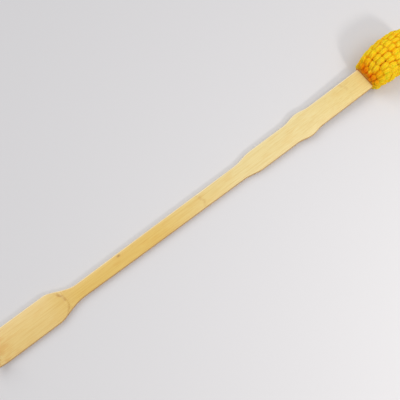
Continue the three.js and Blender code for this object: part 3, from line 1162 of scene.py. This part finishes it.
    @staticmethod
    def jitter(most: float, chooser: random.Random) -> float:
        """Return a random amount from -most to most."""
        return chooser.uniform(-most, most)

    def placing(
        self, turn: float, angle: float, stretch: float, widen: float, chooser: random.Random
    ) -> Matrix:
        """Place one tuft on the form.

        Args:
            turn: place from the mouth to the tip.
            angle: place round the head.
            stretch: share of the pattern's length.
            widen: share of the pattern's width.
            chooser: source of the small irregularities.

        Returns:
            The matrix that takes the pattern to its place.
        """
        along, across, out = self.form.axes(turn, angle)
        basis = Matrix((along, across, out)).transposed().to_4x4()
        swing = Matrix.Rotation(math.radians(self.jitter(self.swing_jitter, chooser)), 4, "Z")
        tilt = self.tip_lift + self.jitter(self.lift_jitter, chooser)
        lift = Matrix.Rotation(-math.radians(tilt), 4, "Y")
        length = stretch * (1 + self.jitter(self.length_jitter, chooser))
        width = widen * (1 + self.jitter(self.width_jitter, chooser))
        size = Matrix.Diagonal((length, width, 1.0, 1.0))
        depth = self.sink + self.jitter(self.depth_jitter, chooser)
        spot = self.form.point(turn, angle) - out * depth
        return Matrix.Translation(spot) @ basis @ swing @ lift @ size

    def joined(
        self,
        node: str,
        places: list[Matrix],
        patterns: list[bpy.types.Object],
        material: bpy.types.Material,
        chooser: random.Random,
    ) -> bpy.types.Object:
        """Copy the tuft to every place and join the copies into one piece.

        Args:
            node: the frame's node the piece stands for.
            places: one placing matrix for each tuft.
            patterns: the variants of the tuft.
            material: the pile's material.
            chooser: picks the variant.

        Returns:
            The piece.
        """
        copies = []
        for place in places:
            copy = bpy.data.objects.new(node, chooser.choice(patterns).data.copy())
            copy.data.transform(place)
            bpy.context.scene.collection.objects.link(copy)
            copies.append(copy)
        bpy.ops.object.select_all(action="DESELECT")
        for copy in copies:
            copy.select_set(True)
        bpy.context.view_layer.objects.active = copies[0]
        bpy.ops.object.join()
        piece = copies[0]
        piece.name = f"{node}_pile"
        self.press_and_shade(piece)
        return finish_piece(piece, material, Slot.CHENILLE, node)

    def press_and_shade(self, piece: bpy.types.Object) -> None:
        """Press the pile flat where it lies on the floor, and note how high each point stands, which
        sets the pile's painted shade and highlight.
        """
        heights = piece.data.attributes.new("pile_height", "FLOAT", "POINT")
        centre = self.form.centre()
        for vertex, height in zip(piece.data.vertices, heights.data):
            vertex.co.z = max(vertex.co.z, self.floor_gap)
            height.value = self.height_at(vertex.co, centre)

    def height_at(self, place: Vector, centre: Vector) -> float:
        """Tell how far up the pile a point is.

        Args:
            place: the point.
            centre: the middle of the head.

        Returns:
            0 at the root of the pile to 1 at the head's outer form.
        """
        half = (self.form.tip_x - self.form.mouth_x) / 2
        share = min(max((place.x - centre.x) / half, -NEARLY_ONE), NEARLY_ONE)
        fullness = self.form.neck_fullness if share < 0 else self.form.tip_fullness
        turn = math.acos(-math.copysign(abs(share) ** (fullness / 2), share))
        angle = math.atan2(place.z - centre.z, place.y)
        outer = self.form.point(turn, angle)
        depth = (outer - centre).length - (place - centre).length
        return min(max(1 - depth / self.pile_depth, 0.0), 1.0)


@dataclass
class HeadInside:
    """What the tufts stand on: foam, pad, backing cloth, hem and threads."""

    cloth_angle: float = 50.0  # degrees past which an edge of the cloth stays sharp
    filling_angle: float = 60.0  # the same for the foam and the pad
    foam_voxel: float = 1.3 * MM
    foam_fill: float = 0.85
    felt_fill: float = 0.9
    hem_bevel: float = 0.25 * MM
    front_flat: tuple[float, float] = (56 * MM, 52 * MM)
    front_area: float = 2500 * MM * MM
    rear_flat: tuple[float, float] = (46 * MM, 50 * MM)
    rear_area: float = 1960 * MM * MM

    def build(self) -> list[bpy.types.Object]:
        """Return the pieces inside the head."""
        cloth = KnittedCloth().build()
        thread = TwistedThread().build()
        foam = self.foam()
        felt = self.felt()
        hem = self.hem(cloth)
        front = self.panel("cover_front_panel", "cover_front_cloth", cloth)
        rear = self.panel("cover_rear_panel", "cover_rear_cloth", cloth)
        for node in ("side_seam_thread", "neck_binding_thread"):
            dress_node(node, thread)
        return [foam, felt, hem, front, rear]

    def panel(self, node: str, name: str, cloth: bpy.types.Material) -> bpy.types.Object:
        """Return one half of the backing cloth, pulled tight over the foam.

        Args:
            node: the frame's node it stands for.
            name: the piece's name.
            cloth: the backing-cloth material.

        Returns:
            The panel.
        """
        panel = merged_copy(node, name)
        smooth(panel, self.cloth_angle)
        return finish_piece(panel, cloth, Slot.CLOTH, node)

    def foam(self) -> bpy.types.Object:
        """Return the foam block, its cut edges softened by the cover's pull."""
        foam = merged_copy("sponge_core", "foam_core")
        apply_modifier(foam, "REMESH", {"mode": "VOXEL", "voxel_size": self.foam_voxel})
        apply_modifier(foam, "SMOOTH", {"factor": 0.5, "iterations": 6})
        smooth(foam, self.filling_angle)
        finish_piece(foam, OpenCellFoam().build(), Slot.SPONGE, "sponge_core")
        return foam

    def felt(self) -> bpy.types.Object:
        """Return the pad under the tang, its edges rounded as cut felt's are."""
        felt = merged_copy("back_pad", "felt_back_pad")
        apply_modifier(felt, "SUBSURF", {"levels": 1, "render_levels": 1})
        smooth(felt, self.filling_angle)
        finish_piece(felt, NeedleFelt().build(), Slot.FELT, "back_pad")
        return felt

    def hem(self, cloth: bpy.types.Material) -> bpy.types.Object:
        """Return the folded hem, with its folds rounded.

        Args:
            cloth: the backing-cloth material.

        Returns:
            The hem.
        """
        hem = merged_copy("neck_hem", "neck_hem_fold")
        apply_modifier(hem, "BEVEL", {"width": self.hem_bevel, "segments": 3, "limit_method": "ANGLE"})
        smooth(hem, self.cloth_angle)
        return finish_piece(hem, cloth, Slot.CLOTH, "neck_hem")


# ---------------------------------------------------------------- stage, light and camera
@dataclass
class Studio:
    """A pale floor, soft lights and the camera that looks down on the scrubber."""

    mouth_x: float
    head_x: float
    floor_colour: str = "d6d5d6"
    floor_size: float = 6.0
    aim_from_mouth: tuple[float, float] = (-193.65 * MM, 2.19 * MM)
    camera_height: float = 600 * MM
    camera_tilt: float = 17.223
    camera_heading: float = -37.7257
    lens: float = 62.82

    def build(self) -> None:
        """Make the floor, the lights, the world and the camera."""
        self.floor()
        self.world(strength=0.57, colour="f9faff")
        middle = self.aim()
        head = Vector((self.head_x, 0.0, 0.0))
        lights = (
            # name, source, target, offset from it, width, strength, colour
            ("broad_light", Source.SOFTBOX, middle, (0.45, -0.35, 0.85), 0.5, 1.95, "fffdfa"),
            ("lamp", Source.SOFTBOX, head, (-0.03, -0.55, 0.46), 0.1, 1.5, "fffaf4"),
            ("window_light", Source.WINDOW, Vector(), (-0.35, 0.75, 0.8), 45.0, 1.15, "fffdfa"),
        )
        for name, source, target, offset, *measures in lights:
            self.light(name, source, target, Vector(offset), *measures)
        self.camera()

    def aim(self) -> Vector:
        """Return the point on the floor that the camera looks at."""
        return Vector((self.mouth_x + self.aim_from_mouth[0], self.aim_from_mouth[1], 0.0))

    def floor(self) -> None:
        """Lay the floor just under the scrubber."""
        bpy.ops.object.select_all(action="DESELECT")
        bpy.ops.mesh.primitive_plane_add(size=self.floor_size, location=(0, 0, 0))
        floor = bpy.context.active_object
        floor.name = "floor"
        material, tree, shader = new_material("pale_matt_floor")
        dull = {"Roughness": 0.9, "Specular IOR Level": 0.1}
        set_inputs(tree, shader, {"Base Color": linear(self.floor_colour), **dull})
        floor.data.materials.append(material)

    def world(self, strength: float, colour: str) -> None:
        """Fill the room with even light.

        Args:
            strength: the light's strength.
            colour: its sRGB hex colour.
        """
        world = bpy.data.worlds.new("soft_room")
        bpy.context.scene.world = world
        world.use_nodes = True
        background = world.node_tree.nodes["Background"]
        inputs = {"Color": linear(colour), "Strength": strength}
        set_inputs(world.node_tree, background, inputs)

    def light(
        self,
        name: str,
        source: Source,
        target: Vector,
        offset: Vector,
        width: float,
        strength: float,
        colour: str,
    ) -> None:
        """Hang one square softbox, or let in light from a wide window far away.

        Args:
            name: the light's name.
            source: softbox or window.
            target: the point it faces.
            offset: its place, from that point.
            width: a softbox's side, or how wide the window looks, in degrees.
            strength: its power in watts, or for the window in watts a square metre.
            colour: its sRGB hex colour.
        """
        bpy.ops.object.select_all(action="DESELECT")
        bpy.ops.object.light_add(type=source.value, location=target + offset)
        light = bpy.context.active_object
        light.name = name
        light.rotation_euler = (-offset).to_track_quat("-Z", "Y").to_euler()
        if source is Source.WINDOW:
            light.data.angle = math.radians(width)
        else:
            light.data.size = width
        light.data.energy = strength
        light.data.color = linear(colour)[:3]

    def camera(self) -> None:
        """Set the camera that the picture is taken with."""
        bpy.ops.object.select_all(action="DESELECT")
        bpy.ops.object.camera_add()
        camera = bpy.context.active_object
        camera.name = "camera"
        tilt = math.radians(self.camera_tilt)
        turned = Matrix.Rotation(math.radians(self.camera_heading), 4, "Z")
        back = turned @ Vector((0.0, -self.camera_height * math.tan(tilt), self.camera_height))
        camera.location = self.aim() + back
        camera.rotation_euler = (tilt, 0.0, math.radians(self.camera_heading))
        camera.data.lens = self.lens
        camera.data.clip_start = 0.01
        camera.data.dof.use_dof = False
        bpy.context.scene.camera = camera
        bpy.context.scene.view_settings.view_transform = "Standard"


def main() -> None:
    """Build the sub-assemblies in order and set the stage."""
    logging.basicConfig(level=logging.INFO, format="%(name)s: %(message)s")
    form = HeadForm.from_frame()
    Studio(mouth_x=form.mouth_x, head_x=form.centre().x).build()
    BambooStrip(mouth_x=form.mouth_x).build()
    HeadInside().build()
    TuftedCover(form=form).build()


if __name__ == "__main__":
    main()
